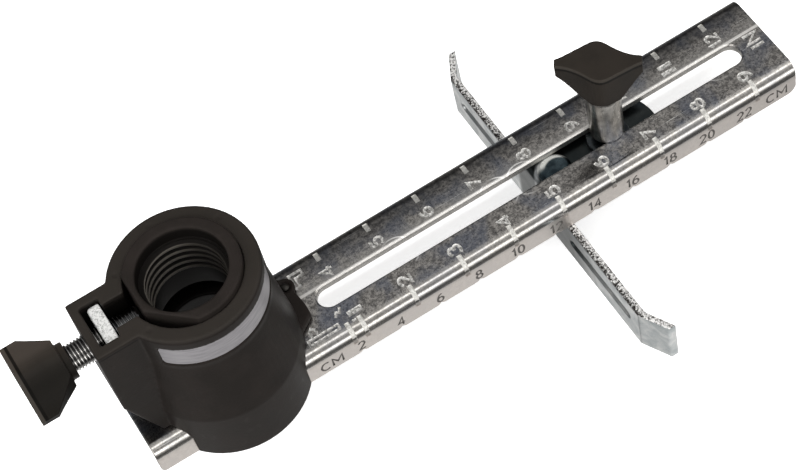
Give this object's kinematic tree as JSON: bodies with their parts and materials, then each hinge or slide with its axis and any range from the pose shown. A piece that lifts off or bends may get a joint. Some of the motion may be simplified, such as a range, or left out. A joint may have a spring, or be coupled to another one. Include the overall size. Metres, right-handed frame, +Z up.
{
  "type": "circle cutting guide",
  "caption": "Slotted steel beam with a clamped cup that takes a rotary tool's nose, and a sliding fence with a pivot pin, for cutting circles and straight lines.",
  "frame": {"origin": "where the tool's axis meets the top face of the beam, at the upper end of the cutter's opening in the beam side of the cup", "axes": "+X along the beam towards its scale end, +Y across the beam, +Z up along the tool's axis"},
  "size_m": [0.1807, 0.0904, 0.0597],
  "materials": {
    "black_plastic": "fine moulded grain, satin",
    "label_silver": "bare silver-white foil",
    "zinc_sheet": "zinc plate with faint spangle and scratches",
    "bright_steel": "bright nickel plate",
    "dark_steel": "dark oxide on small rivets",
    "black_plastic_ring": "satin, turned thread",
    "screw_steel": "bright zinc plate on a cut thread",
    "knob_plastic": "satin moulded plastic",
    "zinc_stamping": "blue-white zinc plate, sheared edges",
    "post_steel": "turned steel, dull plate"
  },
  "bodies": {
    "guide": {"housing": "black_plastic", "label_strip": "label_silver", "beam": "zinc_sheet", "beam_rivets": "dark_steel", "clamp_nut": "bright_steel"},
    "collar": {"collar": "black_plastic_ring"},
    "clamp_screw": {"clamp_stud": "screw_steel"},
    "clamp_wing": {"clamp_knob": "knob_plastic"},
    "carriage": {"fence_guide": "zinc_stamping", "slide_washer": "screw_steel", "guide_stud": "screw_steel", "pivot_pin": "bright_steel"},
    "lock_barrel": {"lock_post": "post_steel"},
    "lock_wing": {"lock_knob": "knob_plastic"}
  },
  "joints": [
    {"name": "collar_depth", "type": "slide", "parent": "guide", "child": "collar", "axis": [0, 0, 1], "range_m": [-0.0038, 0.009]},
    {"name": "clamp_turn", "type": "hinge", "parent": "clamp_screw", "child": "clamp_wing", "pos_m": [-0.033, 0, 0.0304], "axis": [-1, 0, 0], "range_deg": [0, 1080]},
    {"name": "clamp_travel", "type": "slide", "parent": "guide", "child": "clamp_screw", "axis": [-1, 0, 0], "range_m": [0, 0.00225]},
    {"name": "carriage_slide", "type": "slide", "parent": "guide", "child": "carriage", "axis": [1, 0, 0], "range_m": [-0.058, 0.0318]},
    {"name": "lock_turn", "type": "hinge", "parent": "lock_barrel", "child": "lock_wing", "pos_m": [0.0988, 0, 0.02], "axis": [0, 0, 1], "range_deg": [0, 720]},
    {"name": "lock_lift", "type": "slide", "parent": "carriage", "child": "lock_barrel", "axis": [0, 0, 1], "range_m": [0, 0.0016]}
  ],
  "couplings": [
    {"joint": "clamp_turn", "follows": "clamp_travel", "rad_per_m": 8377.5},
    {"joint": "lock_turn", "follows": "lock_lift", "rad_per_m": 7853.9}
  ]
}
